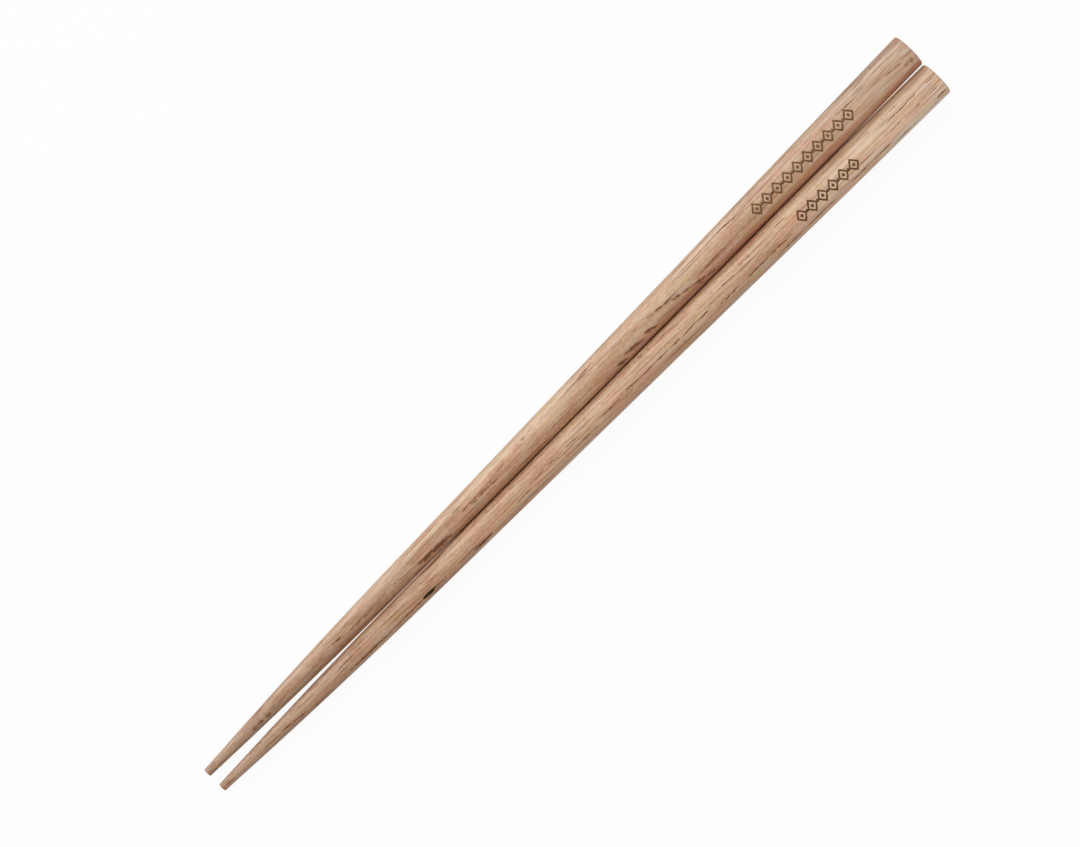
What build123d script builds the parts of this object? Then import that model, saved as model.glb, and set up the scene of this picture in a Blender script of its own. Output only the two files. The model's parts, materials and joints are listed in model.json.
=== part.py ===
from build123d import *
from math import asin, atan2, cos, degrees, tan
import os

# A pair of round wooden chopsticks, lying side by side as they come to rest on a table.
# Each stick is worked from one piece of wood: a slim tip that thickens quickly, a long slow
# taper through the body, and a nearly even grip that ends in a flat butt.
# Millimetres. +X runs from the tips to the butts, +Y towards the left stick, +Z up.
# The origin is on the table, on the seam between the sticks, at half their length.

# One stick, with distances along its axis
LENGTH = 230.0
TIP_DIAMETER = 2.0
TIP_STRAIGHT = 9.0          # length of the tip's straight taper, before the shoulder is rounded
SHOULDER_DIAMETER = 5.32    # where the lines of the tip's taper and the body's taper cross
SHOULDER_BLEND = 27.0       # length of the rounded stretch on each side of the shoulder
BODY_HOLLOW = 0.018         # dip of the body's sides half way along, so that a stick rests on two rings
GRIP_DIAMETER = 8.38        # where the body's taper eases off
GRIP_LENGTH = 30.0          # from there to the butt
GRIP_BLEND = 10.0           # length of the rounded stretch on each side of that point
BUTT_DIAMETER = 8.72
TIP_EASE = 0.25             # radius sanded onto the tip's edge
BUTT_EASE = 0.35            # radius sanded onto the butt's edge

# The pair
SEAM_GAP = 0.12             # between the two bodies, at both ends of their tapers


def stick_corners():
    """The corners of the stick's outline before they are rounded, as (along, out) from the axis."""
    tip = Vector(0, TIP_DIAMETER / 2)
    shoulder = Vector(TIP_STRAIGHT + SHOULDER_BLEND, SHOULDER_DIAMETER / 2)
    grip = Vector(LENGTH - GRIP_LENGTH, GRIP_DIAMETER / 2)
    butt = Vector(LENGTH, BUTT_DIAMETER / 2)
    return tip, shoulder, grip, butt


def point_towards(start, end, run):
    """The point that lies run along X from start, on the straight line to end."""
    return start + (end - start) * (run / abs(end.X - start.X))


def rounded_corner(before, corner, after, blend):
    """A smooth curve that replaces a corner and leaves both of its lines at the same distance."""
    return Bezier(point_towards(corner, before, blend), corner, point_towards(corner, after, blend))


def hollow_line(start, end, dip):
    """A nearly straight line that dips towards the axis by that much, half way along."""
    return Bezier(start, (start + end) / 2 - Vector(0, 2 * dip), end)


def stick_half_section():
    """Half of the stick's lengthwise section, from the axis outwards, with both end edges eased."""
    tip, shoulder, grip, butt = stick_corners()
    tip_centre = Vector(tip.X, 0)
    butt_centre = Vector(butt.X, 0)
    shoulder_curve = rounded_corner(tip, shoulder, grip, SHOULDER_BLEND)
    grip_curve = rounded_corner(shoulder, grip, butt, GRIP_BLEND)
    outline = [
        Line(tip_centre, tip),
        Line(tip, shoulder_curve @ 0),
        shoulder_curve,
        hollow_line(shoulder_curve @ 1, grip_curve @ 0, BODY_HOLLOW),
        grip_curve,
        Line(grip_curve @ 1, butt),
        Line(butt, butt_centre),
        Line(butt_centre, tip_centre),
    ]
    section = make_face(outline)
    for edge, ease in ((tip, TIP_EASE), (butt, BUTT_EASE)):
        section = fillet(section.vertices().sort_by_distance(edge)[0], ease)
    return section


def stick():
    """One whole stick, with its axis along X and its tip face at the origin."""
    return revolve(stick_half_section(), Axis.X)


def resting_place(side):
    """Where a stick lies on the table beside the seam: side is 1 for the left stick, -1 for the right.

    The body is nearly a cone. Its two ends touch the table and the seam plane when its axis
    leans away from each of them by the cone's half angle.
    """
    _, shoulder, grip, _ = stick_corners()
    half_angle = atan2(grip.Y - shoulder.Y, grip.X - shoulder.X)
    middle = (shoulder + grip) / 2
    seat = middle.Y * cos(half_angle)
    yaw = asin(tan(half_angle))
    axis_run_in_x = cos(half_angle) * cos(yaw)
    middle_from_origin = (middle.X - LENGTH / 2) * axis_run_in_x
    lean = Rot(Z=side * degrees(yaw)) * Rot(Y=-degrees(half_angle))
    return Pos(middle_from_origin, side * (SEAM_GAP / 2 + seat), seat) * lean * Pos(X=-middle.X)


def pair():
    """Both sticks by name, in place on the table."""
    return {
        "left_chopstick": resting_place(1) * stick(),
        "right_chopstick": resting_place(-1) * stick(),
    }


os.makedirs("parts", exist_ok=True)
for name, solid in pair().items():
    solid.label = name
    export_step(solid, f"parts/{name}.step")
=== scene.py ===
import json
import math
import bmesh
import bpy
import numpy as np
from mathutils import Matrix, Vector


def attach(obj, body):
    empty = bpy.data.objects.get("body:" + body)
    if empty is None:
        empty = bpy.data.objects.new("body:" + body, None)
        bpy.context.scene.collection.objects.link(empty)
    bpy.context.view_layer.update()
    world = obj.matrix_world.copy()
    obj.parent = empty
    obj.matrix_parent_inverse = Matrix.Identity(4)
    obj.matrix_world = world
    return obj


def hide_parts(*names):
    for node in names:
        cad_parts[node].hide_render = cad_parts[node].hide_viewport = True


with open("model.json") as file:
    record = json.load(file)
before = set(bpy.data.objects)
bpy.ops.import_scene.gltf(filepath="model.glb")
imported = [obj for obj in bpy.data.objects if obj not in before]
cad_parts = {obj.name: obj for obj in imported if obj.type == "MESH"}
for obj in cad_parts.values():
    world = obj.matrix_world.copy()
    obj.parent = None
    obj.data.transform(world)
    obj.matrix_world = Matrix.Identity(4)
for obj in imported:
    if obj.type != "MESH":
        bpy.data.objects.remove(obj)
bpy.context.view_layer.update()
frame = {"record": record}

# A pair of round wooden chopsticks. Each stick is spun from its outline, the marks of its grain are
# sunk into the wood, and a plain band of lozenges is burnt into its grip.
# Lengths are millimetres until a finished mesh is placed in the frame, which is in metres.
MM = 0.001

# One stick, with distances along its axis from the tip, as in the solids
LENGTH = 230.0
TIP_DIAMETER = 2.0
TIP_STRAIGHT = 9.0
SHOULDER_DIAMETER = 5.32
SHOULDER_BLEND = 27.0
BODY_HOLLOW = 0.018
GRIP_DIAMETER = 8.38
GRIP_LENGTH = 30.0
GRIP_BLEND = 10.0
BUTT_DIAMETER = 8.72
TIP_EASE = 0.25
BUTT_EASE = 0.35

# How finely a stick is spun
STEPS_AROUND = 192
ROW_STEP = 0.75
BAND_ROW_STEP = 0.3
EASE_STEPS = 5
END_FACE_STEPS = 8
MERGE_DISTANCE = 0.0001
TINY = 0.000001             # keeps a division away from 0

# The burnt band of lozenges
LOZENGE_LENGTH = 2.5
LOZENGE_HEIGHT = 3.1
LOZENGE_PITCH = 3.3
BURNT_LINE = 0.4
BURNT_EDGE = 0.07           # how far the edge of a burnt line fades, to each side
BURNT_DEPTH = 0.12
SEED_LENGTH = 0.85          # the solid diamonds, inside the lozenges and between them
SEED_HEIGHT = 1.05
SEED_EDGE = 0.2             # how far their edge fades to each side, as a share of their half size
BAND_MARGIN = 0.5           # how far the finer faces run beyond the lozenges

# Marks of the grain
MARK_DEPTH = 0.07
MARK_WOBBLE = 0.05          # to each side of the line that a mark follows
DASH_OVERLAP = 0.1          # the share of its length by which a dash runs on into the next
MARK_TAPER = 0.75           # the lower it is, the blunter are the ends of a mark
MARK_CORE = 0.1             # in half widths from its line: a mark is full up to here
MARK_EDGE = 1.3             # and gone from here on
WIDE_MARK = (0.5, 0.9)      # the widths between which a mark's right edge goes soft


def mix(a, b, share):
    """The value that lies that share of the way from a to b."""
    return a + (b - a) * share


def smooth_step(low, high, value):
    """0 below low, 1 above high, and a soft rise between them. It also works downwards."""
    t = np.clip((value - low) / (high - low), 0, 1)
    return t * t * (3 - 2 * t)


# The stick's outline

def stick_radius(x):
    """The stick's radius at a distance from the tip, before the end edges are eased."""
    x = np.asarray(x, float)
    along = (0, TIP_STRAIGHT + SHOULDER_BLEND, LENGTH - GRIP_LENGTH, LENGTH)
    out = (TIP_DIAMETER / 2, SHOULDER_DIAMETER / 2, GRIP_DIAMETER / 2, BUTT_DIAMETER / 2)
    radius = np.interp(x, along, out)
    for corner, blend in ((1, SHOULDER_BLEND), (2, GRIP_BLEND)):
        start = along[corner] - blend
        end = along[corner] + blend
        t = np.clip((x - start) / (end - start), 0, 1)
        first, last = np.interp((start, end), along, out)
        curve = first * (1 - t) ** 2 + 2 * out[corner] * t * (1 - t) + last * t ** 2
        radius = np.where((t > 0) & (t < 1), curve, radius)
    body_start = along[1] + SHOULDER_BLEND
    body_end = along[2] - GRIP_BLEND
    t = np.clip((x - body_start) / (body_end - body_start), 0, 1)
    return radius - 4 * BODY_HOLLOW * t * (1 - t)


def rows_along(start, end, step):
    """Evenly spaced distances from start up to, and without, end."""
    count = max(1, round((end - start) / step))
    return [mix(start, end, i / count) for i in range(count)]


def stick_outline(band):
    """The points of half a lengthwise section, from the axis at the tip to the axis at the butt."""
    outline = []
    tip_flat = float(stick_radius(TIP_EASE)) - TIP_EASE
    butt_flat = float(stick_radius(LENGTH - BUTT_EASE)) - BUTT_EASE
    for i in range(END_FACE_STEPS):
        outline.append((0, tip_flat * i / END_FACE_STEPS))
    for i in range(EASE_STEPS):
        turn = math.pi / 2 * i / EASE_STEPS
        outline.append((TIP_EASE * (1 - math.cos(turn)), tip_flat + TIP_EASE * math.sin(turn)))
    side = rows_along(TIP_EASE, band.start, ROW_STEP)
    side += rows_along(band.start, band.end, BAND_ROW_STEP)
    side += rows_along(band.end, LENGTH - BUTT_EASE, ROW_STEP)
    outline += [(x, float(stick_radius(x))) for x in side]
    for i in range(EASE_STEPS):
        turn = math.pi / 2 * i / EASE_STEPS
        outline.append((LENGTH - BUTT_EASE * (1 - math.sin(turn)), butt_flat + BUTT_EASE * math.cos(turn)))
    for i in range(END_FACE_STEPS + 1):
        outline.append((LENGTH, butt_flat * (1 - i / END_FACE_STEPS)))
    return outline


def spun_stick(name, band):
    """A closed mesh of one stick along X, with its tip at the origin and finer faces under its band."""
    shape = bmesh.new()
    points = [shape.verts.new((x, 0, out)) for x, out in stick_outline(band)]
    edges = [shape.edges.new(pair) for pair in zip(points, points[1:])]
    bmesh.ops.spin(shape, geom=points + edges, cent=(0, 0, 0), axis=(1, 0, 0), angle=2 * math.pi,
                   steps=STEPS_AROUND, use_merge=True)
    bmesh.ops.remove_doubles(shape, verts=shape.verts, dist=MERGE_DISTANCE)
    bmesh.ops.recalc_face_normals(shape, faces=shape.faces)
    under_band = [face for face in shape.faces if band.covers(face.calc_center_median())]
    band_edges = dict.fromkeys(edge for face in under_band for edge in face.edges)
    bmesh.ops.subdivide_edges(shape, edges=list(band_edges), cuts=1, use_grid_fill=True)
    mesh = bpy.data.meshes.new(name)
    shape.to_mesh(mesh)
    shape.free()
    return mesh


class Surface:
    """A stick's vertices in its own terms: the distance along, the radius and the angle from the top."""

    def __init__(self, mesh):
        places = np.empty(len(mesh.vertices) * 3)
        mesh.vertices.foreach_get("co", places)
        self.mesh = mesh
        self.places = places.reshape(-1, 3)
        self.along = self.places[:, 0]
        self.spun_radius = np.hypot(self.places[:, 1], self.places[:, 2])
        self.around = np.arctan2(self.places[:, 1], self.places[:, 2])
        self.on_side = (self.along > TIP_EASE) & (self.along < LENGTH - BUTT_EASE)
        self.radius = np.where(self.on_side, stick_radius(self.along), self.spun_radius)

    def across(self, line):
        """The distance over the surface from a line of angles, the same way round as the angles."""
        turn = (self.around - line + math.pi) % (2 * math.pi) - math.pi
        return turn * self.radius

    def mark(self, start, end, line, width):
        """A mark along the grain that thins to a point at both ends: 1 at its middle, 0 outside it.

        A wide mark has a clear edge towards the left and fades out towards the right.
        """
        share = (self.along - start) / (end - start)
        fullness = np.clip(4 * share * (1 - share), 0, 1) ** MARK_TAPER
        half_widths = self.across(line) / np.maximum(width / 2 * fullness, TINY)
        right_edge = MARK_EDGE + smooth_step(*WIDE_MARK, width)
        left_part = smooth_step(MARK_EDGE, MARK_CORE, half_widths)
        right_part = smooth_step(right_edge, MARK_CORE, -half_widths)
        return np.minimum(left_part, right_part) * np.sqrt(fullness)

    def sink(self, depth):
        """Puts the side's vertices on the stick's outline, less the depth."""
        share = np.where(self.on_side, (self.radius - depth) / np.maximum(self.spun_radius, TINY), 1)
        self.places[:, 1] *= share
        self.places[:, 2] *= share
        self.mesh.vertices.foreach_set("co", self.places.ravel())

    def keep(self, name, values):
        """Stores a value for each vertex, which the finish reads."""
        self.mesh.attributes.new(name, "FLOAT", "POINT").data.foreach_set("value", values)


# The growth of the wood

class Growth:
    """How the growth rings of the board lie in a stick, how dark its wood is, and how much painted shade
    darkens one side of it.
    """

    def __init__(self, turn, spacing, slope, sway, sway_length, tone, ring_contrast,
                 painted_shade_lean, tip_painted_shade_lean, butt_lean):
        self.turn = math.radians(turn)      # of the line across the rings, from +Y towards +Z
        self.spacing = spacing
        self.slope = slope                  # how far the rings drift for each millimetre along
        self.sway = sway                    # how far they wander to each side
        self.sway_length = sway_length
        self.tone = tone                    # how dark the wood is, from pale to dark
        self.ring_contrast = ring_contrast
        self.painted_shade_lean = painted_shade_lean                    # painted shade: how much darker it is painted for each millimetre to the left
        self.tip_painted_shade_lean = tip_painted_shade_lean            # painted shade too: how much more it does so towards the tip
        self.butt_lean = butt_lean          # and towards the butt


# their leans paint shade: the right stick darker on its left, where the left stick shades it, and the left
# stick darker on its right near the tip
GROWTH = {
    "left": Growth(turn=66, spacing=1.7, slope=0.013, sway=0.35, sway_length=120,
                   tone=0.31, ring_contrast=0.2, painted_shade_lean=0.0, tip_painted_shade_lean=-0.18, butt_lean=0.14),
    "right": Growth(turn=4, spacing=1.14, slope=0.008, sway=0.25, sway_length=150,
                    tone=0.19, ring_contrast=0.3, painted_shade_lean=0.055, tip_painted_shade_lean=0.0, butt_lean=0.14),
}

# The grain marks that show most. Each is its start and end along the stick, the degrees from the
# top at each of these, its width, its strength and the number of dashes that it is broken into.
# Degrees are positive towards the left.
MARKS = {
    "left": (
        (14, 20.5, -22, -25, 1.25, 0.75, 3),
        (38, 40.5, 58, 57, 0.4, 0.72, 1),
        (41, 44.5, -5, -6, 0.55, 0.96, 1),
        (45.8, 54.5, -14, -16, 0.7, 0.62, 4),
        (47.5, 52, -22, -23, 0.4, 0.5, 2),
        (60.5, 68, -12, -25, 0.35, 0.66, 1),
        (67.2, 74.6, -24, -37, 1.2, 1.0, 1),
        (70.4, 78.4, -29, -42, 1.25, 1.05, 1),
        (83.5, 91, -2, -5, 0.5, 0.8, 4),
        (86, 95, -11, -12, 0.5, 0.75, 4),
        (91, 96, 1, 2, 0.45, 0.7, 3),
        (96, 98.5, 13, 15, 0.5, 0.72, 1),
        (100, 107, 25, 29, 0.7, 0.4, 1),
        (113, 120, 53, 52, 0.4, 0.6, 1),
        (123.5, 129, 41, 40, 0.5, 0.72, 1),
        (131.8, 134.8, -42, -54, 1.2, 0.95, 1),
        (135.2, 141, -31, -43, 1.4, 0.82, 1),
        (141.4, 145, -29, -42, 1.25, 1.0, 1),
        (144.1, 151.5, 7, -7, 0.75, 0.92, 3),
        (150.8, 160, -13, -40, 1.0, 0.75, 3),
        (157, 164.5, -31, -58, 1.3, 0.72, 2),
        (145, 152, 58, 57, 0.4, 0.6, 1),
        (169, 176.5, 40, 26, 0.5, 0.9, 1),
        (176.5, 183, 24, 18, 0.35, 0.72, 1),
        (194, 198, 51, 51, 0.4, 0.72, 1),
        (207, 213, 22, 19, 0.4, 0.84, 1),
        (214, 220, 49, 50, 0.4, 0.72, 1),
        (216.5, 225, 56, 55, 0.4, 0.72, 1),
        (221.6, 226.2, -2, -10, 0.5, 0.9, 2),
        (225.8, 230.4, -22, -31, 1.9, 0.5, 1),
    ),
    "right": (
        (0.9, 3.5, -14, -18, 0.6, 0.72, 1),
        (19, 26, -17, -35, 0.55, 0.9, 2),
        (29.5, 33, 47, 46, 0.5, 0.72, 1),
        (37, 43, 9, 9, 0.4, 0.78, 1),
        (43.6, 47, 12, 12, 0.35, 0.66, 1),
        (40.5, 52, -41, -43, 0.65, 0.96, 1),
        (50.5, 63.5, -44, -38, 0.6, 0.8, 1),
        (60.4, 71, -36, -35, 0.9, 0.55, 1),
        # this mark, on the flank towards the left stick, is partly a grain mark and partly painted shade at
        # the seam
        (67, 74, 57, 56, 0.6, 0.96, 1),
        (61.5, 69.5, 21, 20, 0.35, 0.84, 1),
        (72, 80, 16, 15, 0.3, 0.6, 1),
        (75.5, 79.5, -37, -40, 0.6, 0.6, 1),
        (79, 85.5, -44, -43, 0.9, 1.0, 1),
        (80, 88, 50, 51, 0.4, 0.72, 1),
        (90, 98, 53, 39, 0.4, 0.6, 2),
        (93.8, 98.6, -24, -22, 0.5, 0.96, 1),
        (98.4, 115.5, -4, -2, 0.45, 0.96, 3),
        (112.5, 119.3, -32, -31, 0.55, 0.85, 1),
        (115, 126, 21, 22, 0.35, 0.6, 2),
        (120.7, 128.2, -15, -13, 0.45, 0.96, 1),
        (128.7, 133.6, -10, -11, 0.45, 1.08, 1),
        (127.5, 133.8, 40, 41, 0.4, 0.72, 1),
        (134, 140.5, 50, 49, 1.0, 0.4, 1),
        (134, 143, -12, -12, 0.45, 1.08, 2),
        (139.3, 147.8, 41, 40, 0.4, 0.84, 1),
        (143.6, 146.7, -12, -13, 0.55, 1.1, 1),
        (146.9, 156.6, -14, -12, 0.5, 1.08, 2),
        (158, 181.4, -29, -28, 0.55, 0.92, 3),
        (160.4, 165.2, 12, 13, 0.45, 0.95, 1),
        (165.7, 171.2, 22, 22, 0.4, 0.9, 1),
        (175.5, 194, -53, -51, 0.55, 1.02, 2),
        (179, 184, 30, 30, 0.4, 0.78, 1),
        (199, 213, -46, -47, 0.55, 0.96, 2),
        (207, 211, 34, 34, 0.35, 0.72, 1),
        (212.4, 219.9, 33, 33, 0.35, 0.78, 1),
        (212.4, 220, -61, -61, 0.5, 0.96, 1),
        (211.4, 217.4, -15, -15, 0.35, 0.78, 1),
        (213, 225, 13, 12, 0.4, 0.9, 1),
        (218, 229.6, -16, -17, 0.4, 0.75, 2),
        (226.5, 229.6, 12, 12, 0.4, 0.84, 1),
        (226, 229.6, -48, -48, 0.6, 0.96, 1),
        (228.5, 229.6, 45, 45, 0.35, 0.72, 1),
    ),
}

# The knots, each with its start and end, its degrees from the top and its width
KNOTS = {"left": (), "right": ((62.6, 67.8, -35.5, 1.1),)}


def marks_on(surface, side):
    """How strongly each vertex is darkened by the grain marks that show most."""
    marked = np.zeros(len(surface.along))
    for start, end, first, last, width, strength, dashes in MARKS[side]:
        line = np.radians(mix(first, last, (surface.along - start) / (end - start)))
        line = line + MARK_WOBBLE * np.sin(surface.along + start) / surface.radius
        for dash in range(dashes):
            dash_start = mix(start, end, (dash - DASH_OVERLAP) / dashes)
            dash_end = mix(start, end, (dash + 1 + DASH_OVERLAP) / dashes)
            marked = np.maximum(marked, strength * surface.mark(dash_start, dash_end, line, width))
    return marked


def knots_on(surface, side):
    """How strongly each vertex is darkened by knots."""
    dark = np.zeros(len(surface.along))
    for start, end, degrees, width in KNOTS[side]:
        dark = np.maximum(dark, surface.mark(start, end, math.radians(degrees), width))
    return dark


# The burnt band

class Band:
    """Where a stick's band of lozenges starts and ends, and the angle from the top at its middle."""

    def __init__(self, start, end, centre):
        self.start = start
        self.end = end
        self.centre = math.radians(centre)
        self.count = int((end - start) / LOZENGE_PITCH)

    def covers(self, place):
        """Whether a place on the stick lies under the band."""
        beside = abs(math.atan2(place.y, place.z) - self.centre) * BUTT_DIAMETER / 2
        return self.start < place.x < self.end and beside < LOZENGE_HEIGHT / 2 + BAND_MARGIN


BANDS = {"left": Band(178, 211, -5), "right": Band(183.5, 204.5, -8)}


def lozenges_on(surface, band):
    """How deeply each vertex is burnt: a row of lozenges with a small solid diamond in and between them."""
    half_length = LOZENGE_LENGTH / 2
    half_height = LOZENGE_HEIGHT / 2
    half_line = BURNT_LINE / 2
    slant = half_length * half_height / math.hypot(half_length, half_height)
    height = np.abs(surface.across(band.centre))
    middle = (band.start + band.end) / 2
    burnt = np.zeros(len(surface.along))
    for place in range(2 * band.count - 1):
        to_middle = np.abs(surface.along - middle - (place - band.count + 1) * LOZENGE_PITCH / 2)
        seed = to_middle / (SEED_LENGTH / 2) + height / (SEED_HEIGHT / 2)
        burnt = np.maximum(burnt, smooth_step(1 + SEED_EDGE, 1 - SEED_EDGE, seed))
        if place % 2 == 0:
            off_line = np.abs(to_middle / half_length + height / half_height - 1) * slant
            burnt = np.maximum(burnt, smooth_step(half_line + BURNT_EDGE, half_line - BURNT_EDGE, off_line))
    return np.where(surface.on_side, burnt, 0)


# Finishes

def colour(red, green, blue):
    """A colour as it looks on a screen, from 0 to 255, as the shader takes it."""
    parts = [c / 255 for c in (red, green, blue)]
    return tuple(c / 12.92 if c <= 0.04045 else ((c + 0.055) / 1.055) ** 2.4 for c in parts) + (1.0,)


# The Mix node's sockets for colours go by number, because they share their names with others
MIX_SHARE = 0
MIX_START = 6
MIX_END = 7
MIX_RESULT = 2


class Wire:
    """An output of a material's nodes. Arithmetic on values adds the Math nodes that work it out."""

    def __init__(self, tree, socket=None):
        self.tree = tree
        self.socket = socket

    def node(self, kind, settings=(), sockets=(), output=0):
        """Adds a node. Its settings are set first, then its sockets get their values or links."""
        node = self.tree.nodes.new(kind)
        for name, value in dict(settings).items():
            setattr(node, name, value)
        for name, value in dict(sockets).items():
            if isinstance(value, Wire):
                self.tree.links.new(value.socket, node.inputs[name])
            else:
                node.inputs[name].default_value = value
        return Wire(self.tree, node.outputs[output] if len(node.outputs) else None)

    def math(self, operation, first, second=0.0):
        """A Math node."""
        return self.node("ShaderNodeMath", {"operation": operation}, {0: first, 1: second})

    def __add__(self, other):
        return self.math("ADD", self, other)

    def __radd__(self, other):
        return self.math("ADD", other, self)

    def __sub__(self, other):
        return self.math("SUBTRACT", self, other)

    def __rsub__(self, other):
        return self.math("SUBTRACT", other, self)

    def __mul__(self, other):
        return self.math("MULTIPLY", self, other)

    def __rmul__(self, other):
        return self.math("MULTIPLY", other, self)

    def __truediv__(self, other):
        return self.math("DIVIDE", self, other)

    def __rtruediv__(self, other):
        return self.math("DIVIDE", other, self)

    def step(self, low, high):
        """A soft rise from 0 at low to 1 at high."""
        return self.node("ShaderNodeMapRange", {"interpolation_type": "SMOOTHSTEP"},
                         {"Value": self, "From Min": low, "From Max": high})

    def blend(self, start, end):
        """The colour that lies this share of the way from start to end."""
        return self.node("ShaderNodeMix", {"data_type": "RGBA"},
                         {MIX_SHARE: self, MIX_START: start, MIX_END: end}, MIX_RESULT)

    def stain(self, start, stain):
        """The colour start, this share of the way to being multiplied by the stain."""
        return self.node("ShaderNodeMix", {"data_type": "RGBA", "blend_type": "MULTIPLY"},
                         {MIX_SHARE: self, MIX_START: start, MIX_END: stain}, MIX_RESULT)

    def shade(self, first, second):
        """The shader that lies this share of the way from first to second."""
        return self.node("ShaderNodeMixShader", {}, {0: self, 1: first, 2: second})

    def axis(self, number):
        """One coordinate of a place."""
        return self.node("ShaderNodeSeparateXYZ", {}, {0: self}, number)

    def noise(self, length, width, shift, detail):
        """Patches that are that long and that wide, around 0."""
        size = (1 / length, 1 / width, 1 / width)
        scaled = self.node("ShaderNodeVectorMath", {"operation": "MULTIPLY"}, {0: self, 1: size})
        moved = self.node("ShaderNodeVectorMath", {"operation": "ADD"}, {0: scaled, 1: (shift,) * 3})
        return self.node("ShaderNodeTexNoise", {}, {"Vector": moved, "Scale": 1.0, "Detail": detail}) - 0.5

    def matt(self, sockets):
        """A shader without any sheen."""
        no_sheen = {"Roughness": 1.0, "Specular IOR Level": 0.0}
        return self.node("ShaderNodeBsdfPrincipled", {}, no_sheen | sockets)

    def attribute(self, name):
        """A value stored for each vertex."""
        return self.node("ShaderNodeAttribute", {"attribute_name": name}, {}, "Fac")


PALE_WOOD = colour(222, 190, 163)
DARK_WOOD = colour(161, 123, 96)
MARK_BROWN = colour(120, 66, 47)
KNOT_BROWN = colour(52, 29, 18)
SCORCHED = colour(150, 110, 78)
BURNT = {"left": colour(108, 78, 54), "right": colour(78, 54, 36)}
END_GRAIN = colour(160, 119, 88)
END_PORE = colour(84, 54, 38)

# Stains are what the wood's colour is multiplied by
RED_STAIN = (1.0, 0.82, 0.78, 1)
STRAW_STAIN = (0.99, 0.97, 0.79, 1)
HEART_STAIN = (0.88, 0.74, 0.68, 1)
PORE_STAIN = (0.55, 0.44, 0.38, 1)
TIP_STAIN = (0.715, 0.665, 0.66, 1)
BUTT_STAIN = {"left": (1.03, 1.11, 1.22, 1), "right": (1.26, 1.44, 1.65, 1)}

# Stretches along the stick over which its wood changes
TIP_STRETCH = (0, 100)
BUTT_STRETCH = (170, 222)
HEART_STRETCH = (120, 185)
TIP_FACE = (0.05, 0.2)
BUTT_FACE = (LENGTH - 0.25, LENGTH - 0.08)

# Patterns in the grain. Each is its length along the fibres, its width across them, its place in the
# noise that they all come from, and how much finer detail it has.
PATTERNS = {
    "wander": (45, 3.0, 5.0, 2.0),
    "cloud": (24, 3.4, 31.0, 2.0),
    "silk": (20, 1.2, 2.0, 2.0),
    "fibre": (8, 0.36, 9.0, 3.0),
    "fine": (3, 0.16, 14.0, 2.0),
    "fleck": (1.1, 0.45, 21.0, 2.0),
    "red": (7, 0.9, 77.0, 2.0),
    "straw": (6, 0.8, 91.0, 2.0),
    "heart": (24, 1.2, 52.0, 2.0),
    "pore": (13, 0.26, 47.0, 1.0),
    "small_pore": (6, 0.15, 63.0, 1.0),
    "teeth": (0.8, 0.6, 83.0, 1.0),
    "end_pore": (30, 0.3, 118.0, 1.0),
}

# Growth rings, as shares of a year: the dark part ends and the next one starts over these
EARLY_END = (0.0, 0.6)
EARLY_START = (0.88, 1.0)
RING_WANDER = 2.2           # in years, times the pattern

# How much each pattern darkens the wood
SILK_TONE = 0.9             # in the dark part of a ring
FIBRE_TONE = 1.1
FINE_TONE = 0.5
FLECK_TONE = 1.2
BUTT_FLECK_LOSS = 0.8       # what the flecks lose of it towards the butt
TEXTURE_TONE = 0.86         # of fibres and flecks together
TIP_TEXTURE_GAIN = 0.24     # what they gain towards the tip
TONE_RANGE = (-0.3, 1.3)    # from the pale wood to the dark wood

# How much each pattern reddens the wood
RED_TINGE = 0.45            # everywhere
CLOUD_TINGE = 1.6
SILK_TINGE = 1.6
PATCH_TINGE = 2.4
RIGHT_PAINTED_SHADE_TINGE = 0.07          # painted shade: how much redder it gets for each millimetre to the right, the side turned from the light
STRAW_RANGE = (-0.2, 0.2)
HEART_RANGE = (4.0, 4.6)    # how far across the rings the redder heart of the left stick ends
HEART_WANDER = 1.6

# Pores: the part of their pattern in which they open, and the share of the stain that they take
PORE_RANGE = (0.13, 0.21)
SMALL_PORE_RANGE = (0.14, 0.23)
RING_PORES = 0.05           # how much more of them the dark part of a ring has
PORE_SHARE = 0.8
SMALL_PORE_SHARE = 0.5

# Marks, knots and burnt lines: the rise over which their edge is ragged and how ragged it is,
# the range over which they darken, and the share of their colour that shows
RAGGED_FLECK = 0.7
RAGGED_FIBRE = 0.5
MARK_RAGGED = (0.25, 1.0)
MARK_RANGE = (0.12, 1.0)
MARK_SHARE = 0.9
KNOT_RAGGED = (0.25, 0.5)
KNOT_RANGE = (0.2, 0.8)
KNOT_SHARE = 0.93
CHAR_RAGGED = (0.3, 0.6)
CHAR_RANGE = (0.3, 1.0)
CHAR_SHARE = 0.85
CHAR_FIBRE = 0.8
SCORCH_RANGE = (0.0, 0.5)
SCORCH_SHARE = 0.7

# End grain: how much rings, pores and patterns darken it
END_PORE_RANGE = (0.02, 0.18)
END_RING_TONE = 0.35
END_PORE_TONE = 0.25
END_RING_PORE_TONE = 0.5
END_FIBRE_TONE = 0.5
END_CLOUD_TONE = 0.4
END_SHARE = 0.85

# Sheen and relief of the sanded surface
SHEEN = 0.35
ROUGHNESS = 0.44
FIBRE_ROUGHNESS = 0.25
FIBRE_RELIEF = 0.6
FINE_RELIEF = 0.5
PORE_RELIEF = 0.8
SMALL_PORE_RELIEF = 0.4
RELIEF_STRENGTH = 0.5
RELIEF_HEIGHT = 0.03
PORE_DULLNESS = 0.6


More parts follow.
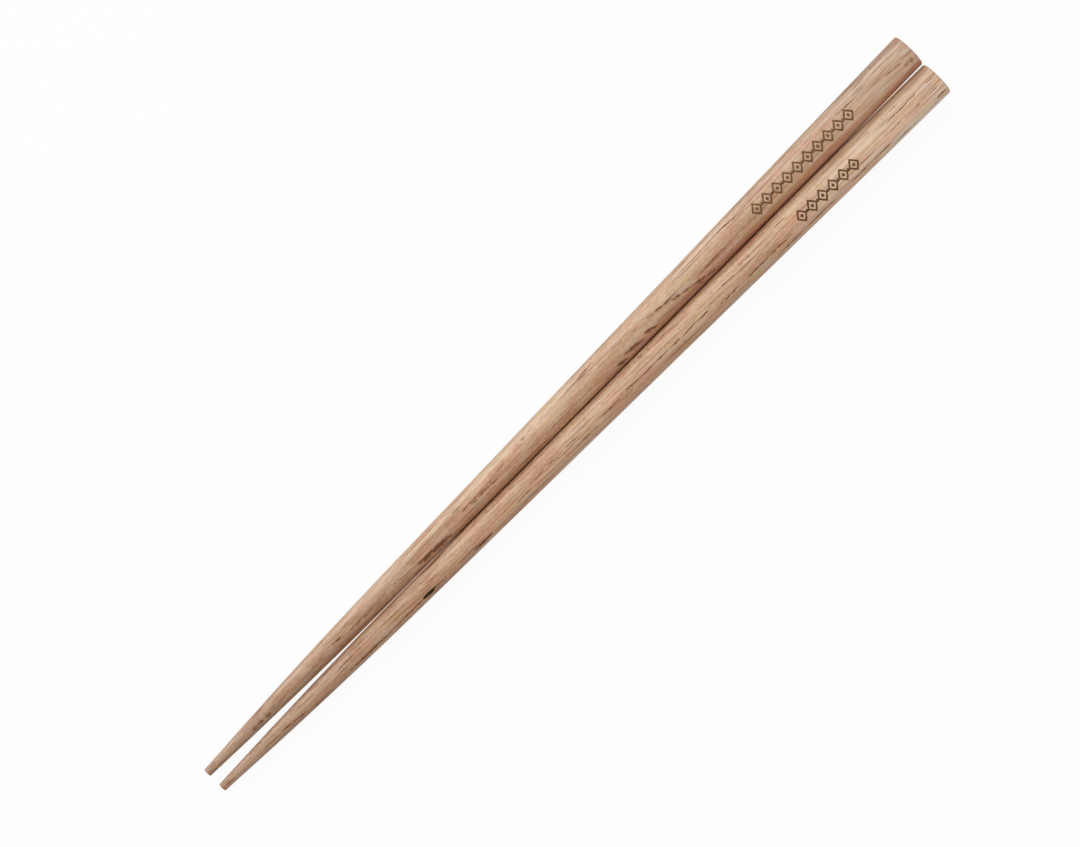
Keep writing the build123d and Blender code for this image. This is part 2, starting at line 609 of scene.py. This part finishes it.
class Grain:
    """The wood of one stick: its axes, in millimetres from the tip, and the patterns that follow them."""

    def __init__(self, wire, growth, place):
        spot = wire.node("ShaderNodeTexCoord", {}, {}, "Object")
        spot = wire.node("ShaderNodeMapping", {"vector_type": "TEXTURE"},
                         {"Vector": spot, "Location": place.translation, "Rotation": place.to_euler(),
                          "Scale": (MM, MM, MM)})
        self.x, self.y, z = (spot.axis(number) for number in range(3))
        # along the fibres, across the rings and along a ring
        swing = wire.math("SINE", self.x * (2 * math.pi / growth.sway_length))
        across = self.y * math.cos(growth.turn) + z * math.sin(growth.turn)
        self.across = across + self.x * growth.slope + swing * growth.sway
        beside = z * math.cos(growth.turn) - self.y * math.sin(growth.turn)
        self.axes = wire.node("ShaderNodeCombineXYZ", {}, {0: self.x, 1: self.across, 2: beside})
        # the dark part of each ring, where a year's growth starts
        ring = self.across / growth.spacing + self.pattern("wander") * RING_WANDER
        year = wire.math("FRACT", ring)
        self.early = (1 - year.step(*EARLY_END)) + year.step(*EARLY_START)
        # from broad patches down to flecks
        self.cloud = self.pattern("cloud")
        self.silk = self.pattern("silk")
        self.fibre = self.pattern("fibre")
        self.fine = self.pattern("fine")
        self.fleck = self.pattern("fleck")
        # pores, cut open along the surface
        self.pore = (self.pattern("pore") + self.early * RING_PORES).step(*PORE_RANGE)
        self.small_pore = self.pattern("small_pore").step(*SMALL_PORE_RANGE)
        self.ragged = self.pattern("teeth") + self.fleck * RAGGED_FLECK + self.fibre * RAGGED_FIBRE

    def pattern(self, name):
        """One of the patterns in the grain, around 0."""
        return self.axes.noise(*PATTERNS[name])

    def torn(self, values, rise, amount):
        """Values on the surface, made ragged where they rise from 0."""
        return values + self.ragged * values.step(0.0, rise) * amount


def sanded_wood(side, grain):
    """The colour of the wood, with its pores but without marks."""
    growth = GROWTH[side]
    near_tip = 1 - grain.x.step(*TIP_STRETCH)
    near_butt = grain.x.step(*BUTT_STRETCH)
    # paler and darker wood, with painted shade that darkens one side of the stick
    painted_shade_lean = growth.painted_shade_lean + near_tip * growth.tip_painted_shade_lean + near_butt * growth.butt_lean
    flecks = grain.fleck * (FLECK_TONE - near_butt * BUTT_FLECK_LOSS)
    texture = grain.fibre * FIBRE_TONE + grain.fine * FINE_TONE + flecks
    # the lean paints shade onto one side of the stick
    tone = growth.tone + grain.y * painted_shade_lean + grain.early * (growth.ring_contrast + grain.silk * SILK_TONE)
    tone = tone + grain.cloud + texture * (TEXTURE_TONE + near_tip * TIP_TEXTURE_GAIN)
    wood = tone.step(*TONE_RANGE).blend(PALE_WOOD, DARK_WOOD)
    # redder and yellower wood in patches, a redder heart along the right of the left stick, and painted
    # shade that reddens the right of each stick
    tinge = RED_TINGE + grain.cloud * CLOUD_TINGE + grain.silk * SILK_TINGE
    tinge = tinge + grain.pattern("red") * PATCH_TINGE + grain.fibre - grain.y * RIGHT_PAINTED_SHADE_TINGE
    wood = tinge.step(0.0, 1.0).stain(wood, RED_STAIN)
    wood = grain.pattern("straw").step(*STRAW_RANGE).stain(wood, STRAW_STAIN)
    if side == "left":
        heart = grain.across + grain.pattern("heart") * HEART_WANDER
        wood = ((1 - heart.step(*HEART_RANGE)) * grain.x.step(*HEART_STRETCH)).stain(wood, HEART_STAIN)
    # darker towards the tip, paler at the butt
    wood = near_tip.stain(wood, TIP_STAIN)
    wood = near_butt.stain(wood, BUTT_STAIN[side])
    wood = (grain.small_pore * SMALL_PORE_SHARE).stain(wood, PORE_STAIN)
    return (grain.pore * PORE_SHARE).stain(wood, PORE_STAIN)


def end_grain(grain):
    """The colour of the end faces: the rings as lines, with the pores cut open as dots along them."""
    dots = grain.pattern("end_pore").step(*END_PORE_RANGE)
    tone = grain.early * END_RING_TONE + dots * (END_PORE_TONE + grain.early * END_RING_PORE_TONE)
    tone = tone + grain.fibre * END_FIBRE_TONE + grain.cloud * END_CLOUD_TONE
    return tone.blend(END_GRAIN, END_PORE)


def wood_finish(side, place):
    """Pale hardwood, sanded and oiled, with its marks and knots and the burnt band."""
    material = bpy.data.materials.new(f"{side}_hardwood")
    material.use_nodes = True
    tree = material.node_tree
    shader = tree.nodes["Principled BSDF"]
    wire = Wire(tree)
    grain = Grain(wire, GROWTH[side], place)
    wood = sanded_wood(side, grain)
    # marks and knots
    mark = grain.torn(wire.attribute("marks"), *MARK_RAGGED).step(*MARK_RANGE)
    wood = (mark * MARK_SHARE).blend(wood, MARK_BROWN)
    knot = grain.torn(wire.attribute("knots"), *KNOT_RAGGED).step(*KNOT_RANGE)
    wood = (knot * KNOT_SHARE).blend(wood, KNOT_BROWN)
    # end faces
    at_end = (1 - grain.x.step(*TIP_FACE)) + grain.x.step(*BUTT_FACE)
    wood = (at_end * END_SHARE).blend(wood, end_grain(grain))
    # burnt band
    burn = wire.attribute("burn")
    char = grain.torn(burn, *CHAR_RAGGED).step(*CHAR_RANGE)
    wood = (burn.step(*SCORCH_RANGE) * SCORCH_SHARE).blend(wood, SCORCHED)
    wood = (char * (CHAR_SHARE + grain.fibre * CHAR_FIBRE)).blend(wood, BURNT[side])
    tree.links.new(wood.socket, shader.inputs["Base Color"])
    # sanded wood has a sheen, open pores, marks and burnt wood have none
    shader.inputs["Specular IOR Level"].default_value = SHEEN
    rough = ROUGHNESS + grain.fibre * FIBRE_ROUGHNESS
    tree.links.new(rough.socket, shader.inputs["Roughness"])
    relief = grain.fibre * FIBRE_RELIEF + grain.fine * FINE_RELIEF
    relief = relief - grain.small_pore * SMALL_PORE_RELIEF - grain.pore * PORE_RELIEF
    bump = wire.node("ShaderNodeBump", {}, {"Height": relief, "Strength": RELIEF_STRENGTH,
                                            "Distance": RELIEF_HEIGHT * MM})
    tree.links.new(bump.socket, shader.inputs["Normal"])
    dull = wire.matt({"Base Color": wood, "Normal": bump})
    marked = wire.math("MAXIMUM", mark, knot)
    dullness = wire.math("MAXIMUM", marked, wire.math("MAXIMUM", burn, grain.pore * PORE_DULLNESS))
    surface = dullness.shade(Wire(tree, shader.outputs[0]), dull)
    tree.links.new(surface.socket, tree.nodes["Material Output"].inputs["Surface"])
    return material


# The two sticks in their places

def add_object(name, data):
    """A new object in the scene."""
    thing = bpy.data.objects.new(name, data)
    bpy.context.scene.collection.objects.link(thing)
    return thing


def resting_place(side):
    """Takes a stick along X, with its tip at the origin, to its solid's place, by the mount on its butt."""
    mount = next(m for m in frame["record"]["mounts"] if m["name"] == f"{side}_butt")
    axis = Vector(mount["axis"]).normalized()
    across = Vector((0, 0, 1)).cross(axis).normalized()
    up = axis.cross(across)
    turn = Matrix((axis, across, up)).transposed().to_4x4()
    return Matrix.Translation(mount["pos_m"]) @ turn @ Matrix.Translation((-LENGTH * MM, 0, 0))


def make_stick(side):
    """One finished stick, in place of its solid."""
    name = f"{side}_wood_stick"
    mesh = spun_stick(name, BANDS[side])
    surface = Surface(mesh)
    marks = marks_on(surface, side)
    knots = knots_on(surface, side)
    burn = lozenges_on(surface, BANDS[side])
    surface.keep("marks", marks)
    surface.keep("knots", knots)
    surface.keep("burn", burn)
    surface.sink(np.maximum(np.maximum(marks, knots) * MARK_DEPTH, burn * BURNT_DEPTH))
    place = resting_place(side)
    mesh.transform(place @ Matrix.Scale(MM, 4))
    mesh.shade_smooth()
    mesh.materials.append(wood_finish(side, place))
    piece = add_object(name, mesh)
    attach(piece, "root")
    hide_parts(f"{side}_chopstick")


for side in ("left", "right"):
    make_stick(side)


# The stage. Its lengths are metres, but the strips on the floor under the seam are in millimetres.

FLOOR_RADIUS = 4.0
FLOOR_SEGMENTS = 64
FLOOR_WHITE = 0.98
FLOOR_BOUNCE = 0.36         # for the light that it throws back onto the sticks
FLOOR_GLOW = 0.93           # the share of plain white that the camera sees in the floor
SEAM_HALF_WIDTH = 1.0       # the strip under the seam, painted dark as the shade that the sticks keep there
SEAM_FADE = 0.4             # the share of that over which its edge fades, to each side
SEAM_START = (-49.0, -34.0)  # along which it fades in at the tips' end
SEAM_END = (84.0, 114.0)     # and fades out at the butts' end
# painted shade: the dark brown of the floor under the seam
SEAM_PAINTED_SHADE = (0.12, 0.045, 0.022, 1)
WARM_START = (-85.0, -48.0)  # along which the light between the sticks takes on the colour of the wood
WARM_END = (106.0, 114.0)
WARM_LIGHT = (1.0, 0.72, 0.58, 1)

ROOM_LIGHT = 0.61           # from all round, where 1 is white
ROOM_LEAN = 0.32            # the share by which the room is brighter on the left, and darker on the right
LAMP_LIGHT = 0.45           # at which the lamp lights a surface that faces it
LAMP_SIZE = 1.0
LAMP_PLACE = Vector((0.15, 0.62, 0.8))
SHEEN_PANEL_WIDTH = 1.3
SHEEN_PANEL_PLACE = Vector((0.05, 1.0, 0))
# the bottom, the top and the glow of each panel
SHEEN_PANELS = {"low_panel": (0.0, 0.18, 12.2), "high_panel": (0.36, 0.58, 7.0)}


def seen_directly(wire):
    """1 for what the camera sees, straight or in a reflection, and 0 for light that falls on things."""
    path = [wire.node("ShaderNodeLightPath", {}, {}, name)
            for name in ("Is Camera Ray", "Is Glossy Ray", "Is Transmission Ray")]
    seen = path[0]
    for other in path[1:]:
        seen = wire.math("MAXIMUM", seen, other)
    return seen


def grey(level):
    """A grey, as the shader takes it."""
    return (level, level, level, 1.0)


def make_floor():
    """A white table top that keeps the sticks' shadow, with painted shade under the seam between them."""
    shape = bmesh.new()
    bmesh.ops.create_circle(shape, cap_ends=True, segments=FLOOR_SEGMENTS, radius=FLOOR_RADIUS)
    mesh = bpy.data.meshes.new("floor")
    shape.to_mesh(mesh)
    shape.free()
    material = bpy.data.materials.new("white_table")
    material.use_nodes = True
    tree = material.node_tree
    tree.nodes.remove(tree.nodes["Principled BSDF"])
    wire = Wire(tree)
    spot = wire.node("ShaderNodeTexCoord", {}, {}, "Object")
    along = spot.axis(0) / MM
    from_seam = wire.math("ABSOLUTE", spot.axis(1) / MM)
    between = 1 - from_seam.step(SEAM_HALF_WIDTH * (1 - SEAM_FADE), SEAM_HALF_WIDTH * (1 + SEAM_FADE))
    seam = between * along.step(*SEAM_START) * (1 - along.step(*SEAM_END))
    warm = between * along.step(*WARM_START) * (1 - along.step(*WARM_END))
    light = warm.blend(grey(1.0), WARM_LIGHT)
    seen = seen_directly(wire)
    paint = seen.blend(grey(FLOOR_BOUNCE), grey(FLOOR_WHITE))
    # painted shade: under the seam the floor is painted dark brown and gives up its glow
    paint = seam.blend(paint, SEAM_PAINTED_SHADE)
    matt = wire.matt({"Base Color": paint})
    glow = wire.node("ShaderNodeEmission", {}, {"Color": light, "Strength": 1.0})
    both = (seen * (1 - seam) * FLOOR_GLOW).shade(matt, glow)
    tree.links.new(both.socket, tree.nodes["Material Output"].inputs["Surface"])
    mesh.materials.append(material)
    floor = add_object("floor", mesh)


def add_panel(name, size, place, target, power):
    """A flat lamp that faces the target."""
    lamp = bpy.data.lights.new(name, "AREA")
    lamp.shape = "RECTANGLE"
    lamp.size, lamp.size_y = size
    lamp.energy = power
    panel = add_object(name, lamp)
    panel.location = place
    panel.rotation_euler = (target - place).to_track_quat("-Z", "Y").to_euler()
    panel.visible_camera = False
    return panel


def add_sheen_panel(name, bottom, top, glow):
    """An upright panel on the left that only shows in the sheen of the wood."""
    height = top - bottom
    place = SHEEN_PANEL_PLACE + Vector((0, 0, (bottom + top) / 2))
    target = Vector((place.x, 0, place.z))
    power = glow * math.pi * SHEEN_PANEL_WIDTH * height
    panel = add_panel(name, (SHEEN_PANEL_WIDTH, height), place, target, power)
    panel.visible_diffuse = False


def light_room():
    """Soft light from all round, a large lamp on the left, and the panels that the sheen mirrors."""
    world = bpy.data.worlds.new("studio")
    bpy.context.scene.world = world
    world.use_nodes = True
    tree = world.node_tree
    wire = Wire(tree)
    seen = seen_directly(wire)
    to_left = wire.node("ShaderNodeTexCoord", {}, {}, "Generated").axis(1)
    room = ROOM_LIGHT + to_left * (ROOM_LIGHT * ROOM_LEAN)
    strength = room + seen * (1 - room)
    background = tree.nodes["Background"]
    background.inputs["Color"].default_value = grey(1.0)
    tree.links.new(strength.socket, background.inputs["Strength"])
    lamp_power = LAMP_LIGHT * math.pi ** 2 * LAMP_PLACE.length_squared
    add_panel("softbox", (LAMP_SIZE, LAMP_SIZE), LAMP_PLACE, Vector((0, 0, 0)), lamp_power)
    for name, (bottom, top, glow) in SHEEN_PANELS.items():
        add_sheen_panel(name, bottom, top, glow)


# The camera looks straight down
CAMERA_PLACE = (-0.00471, 0.00449, 0.88)
CAMERA_TURN = -45.32
CAMERA_LENS = 127.96        # in millimetres, as the sensor
SENSOR_WIDTH = 36


def place_camera():
    """The camera, at the photograph's viewing angle."""
    lens = bpy.data.cameras.new("camera")
    lens.sensor_width = SENSOR_WIDTH
    lens.lens = CAMERA_LENS
    camera = add_object("camera", lens)
    camera.location = CAMERA_PLACE
    camera.rotation_euler = (0, 0, math.radians(CAMERA_TURN))
    bpy.context.scene.camera = camera


make_floor()
light_room()
place_camera()
bpy.context.scene.view_settings.view_transform = "Standard"
